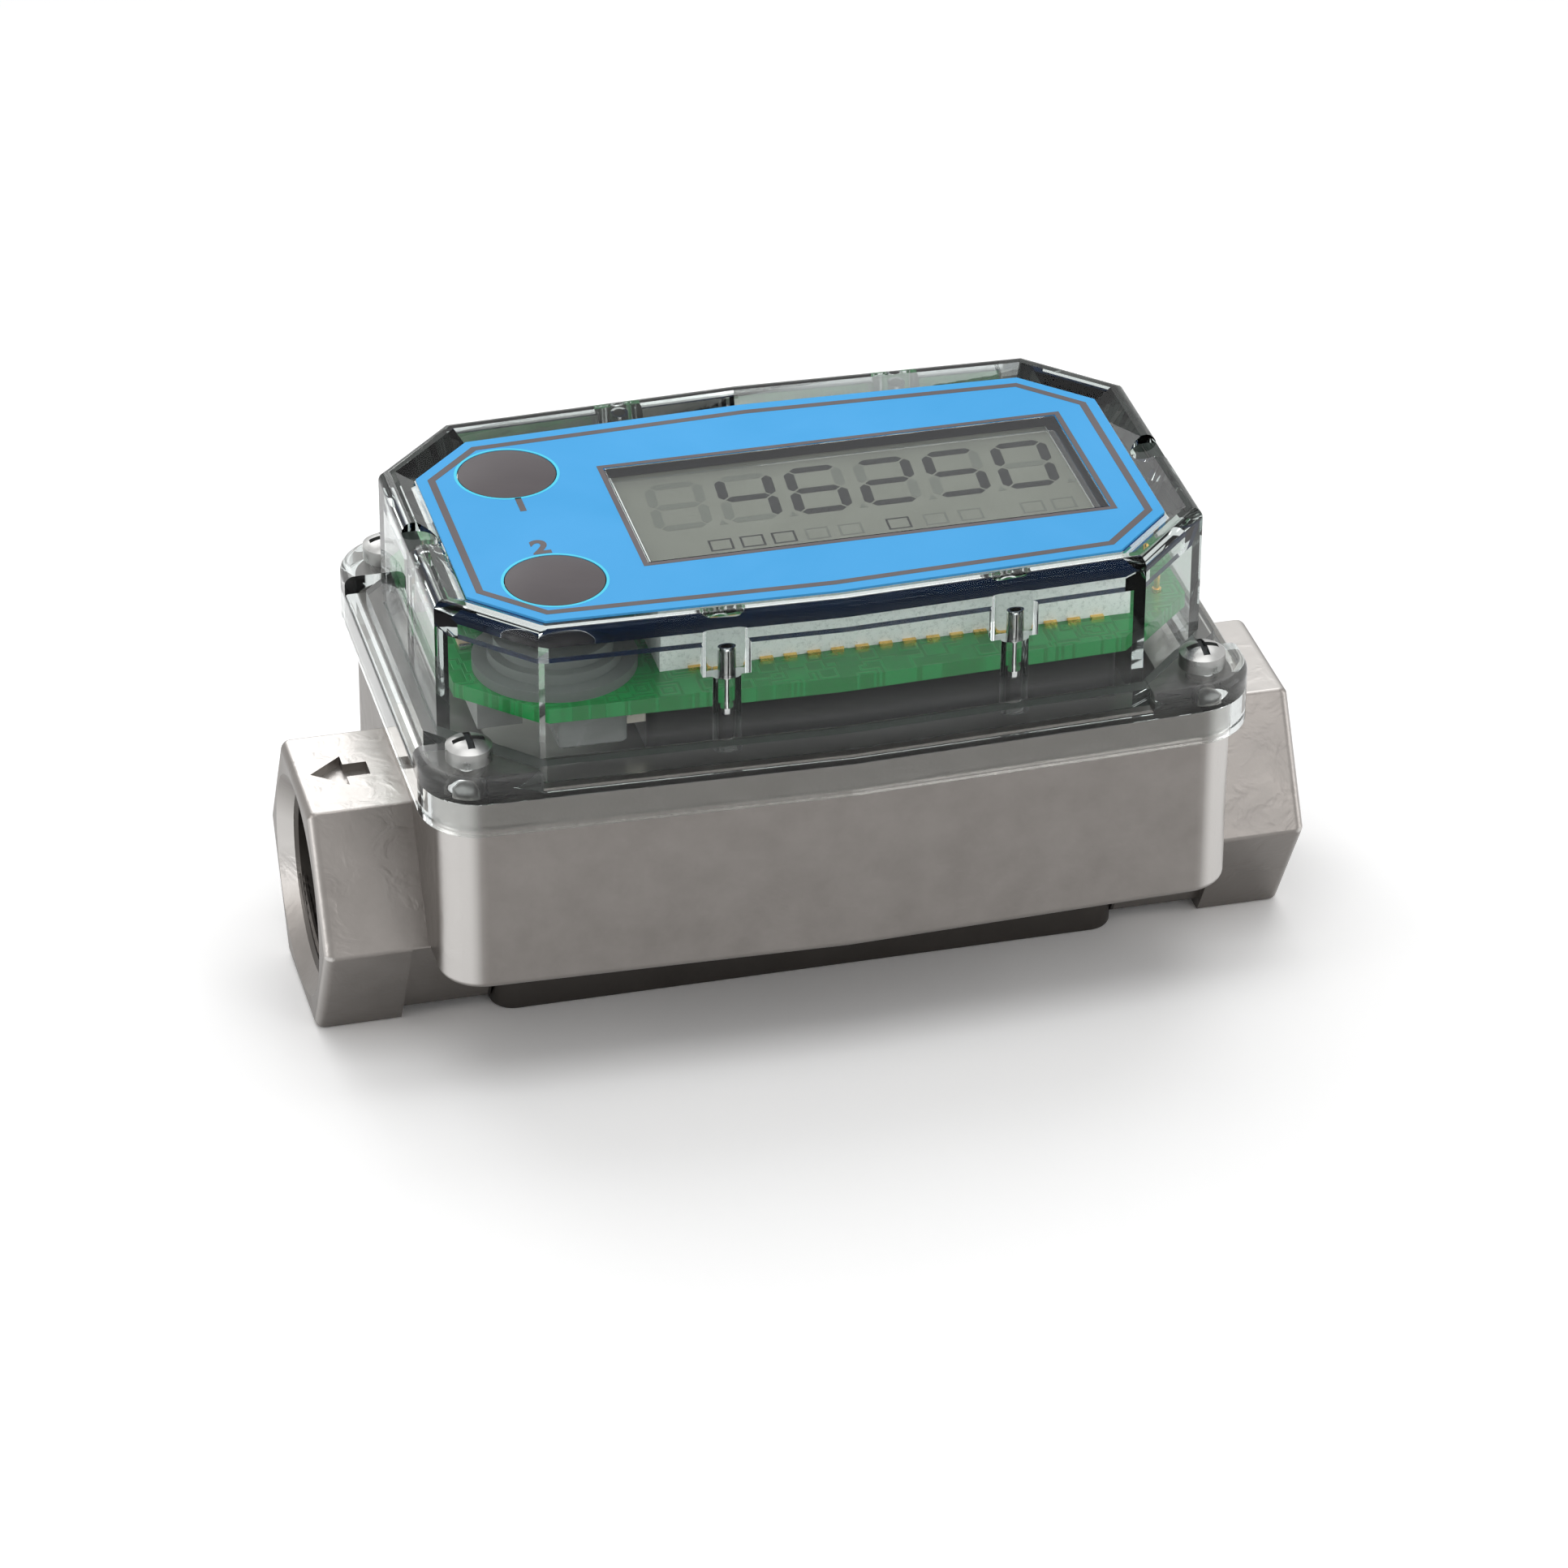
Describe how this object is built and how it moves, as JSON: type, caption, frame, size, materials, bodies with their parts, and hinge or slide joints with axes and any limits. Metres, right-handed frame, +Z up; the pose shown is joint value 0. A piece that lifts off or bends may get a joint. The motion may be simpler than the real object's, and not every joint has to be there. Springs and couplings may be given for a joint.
{
  "type": "turbine flow meter",
  "caption": "Inline turbine flow meter: cast metal body with two hexagon pipe ports under a screwed clear cover with display and two push buttons.",
  "frame": {"origin": "centre of the footprint on the surface that the meter lies on", "axes": "+X along the pipe towards the inlet port, against the flow arrow; +Y to the rear; +Z up"},
  "size_m": [0.1016, 0.0524, 0.0514],
  "materials": {
    "cast_stainless": "cast, fine bumps",
    "smoke_clear": "smoke-clear moulded plastic",
    "screw_steel": "bright",
    "seal_rubber": "smooth",
    "label_blue": "printed film",
    "button_grey": "satin",
    "pad_silicone": "translucent",
    "switch_black": "moulded",
    "board_green": "lacquered",
    "pin_steel": "bright",
    "frame_white": "moulded",
    "display_glass": "smooth",
    "contact_gold": "plated",
    "chip_black": "moulded",
    "box_black": "moulded",
    "cell_steel": "smooth",
    "clip_steel": "plated",
    "connector_grey": "moulded",
    "module_case": "moulded",
    "coil_case": "moulded",
    "rotor_plastic": "moulded",
    "magnet_plated": "plated",
    "shaft_carbide": "ground",
    "bearing_ceramic": "ground",
    "support_plastic": "moulded",
    "ring_steel": "spring temper"
  },
  "bodies": {
    "housing": {"meter_body": "cast_stainless", "clear_cover": "smoke_clear", "cover_screws": "screw_steel", "cover_seal": "seal_rubber", "face_label": "label_blue", "upper_button_pad": "pad_silicone", "lower_button_pad": "pad_silicone", "button_switches": "switch_black", "circuit_board": "board_green", "board_pins": "pin_steel", "display_frame": "frame_white", "display_glass": "display_glass", "display_contacts": "contact_gold", "processor_chip": "chip_black", "test_pin": "contact_gold", "battery_box": "box_black", "battery_cells": "cell_steel", "battery_clip": "clip_steel", "pickup_connector": "connector_grey", "signal_module": "module_case", "pickup_coil": "coil_case", "inlet_bearing": "bearing_ceramic", "outlet_bearing": "bearing_ceramic", "inlet_support": "support_plastic", "outlet_support": "support_plastic", "inlet_ring": "ring_steel", "outlet_ring": "ring_steel"},
    "turbine": {"rotor": "rotor_plastic", "rotor_magnets": "magnet_plated", "rotor_shaft": "shaft_carbide"},
    "upper_key": {"upper_button": "button_grey"},
    "lower_key": {"lower_button": "button_grey"}
  },
  "joints": [
    {"name": "rotor_spin", "type": "hinge", "parent": "housing", "child": "turbine", "pos_m": [0, 0, 0.0127], "axis": [1, 0, 0], "continuous": true},
    {"name": "upper_press", "type": "slide", "parent": "housing", "child": "upper_key", "axis": [0, 0, -1], "range_m": [0, 0.0008], "stiffness_N_per_m": 1500},
    {"name": "lower_press", "type": "slide", "parent": "housing", "child": "lower_key", "axis": [0, 0, -1], "range_m": [0, 0.0008], "stiffness_N_per_m": 1500}
  ]
}
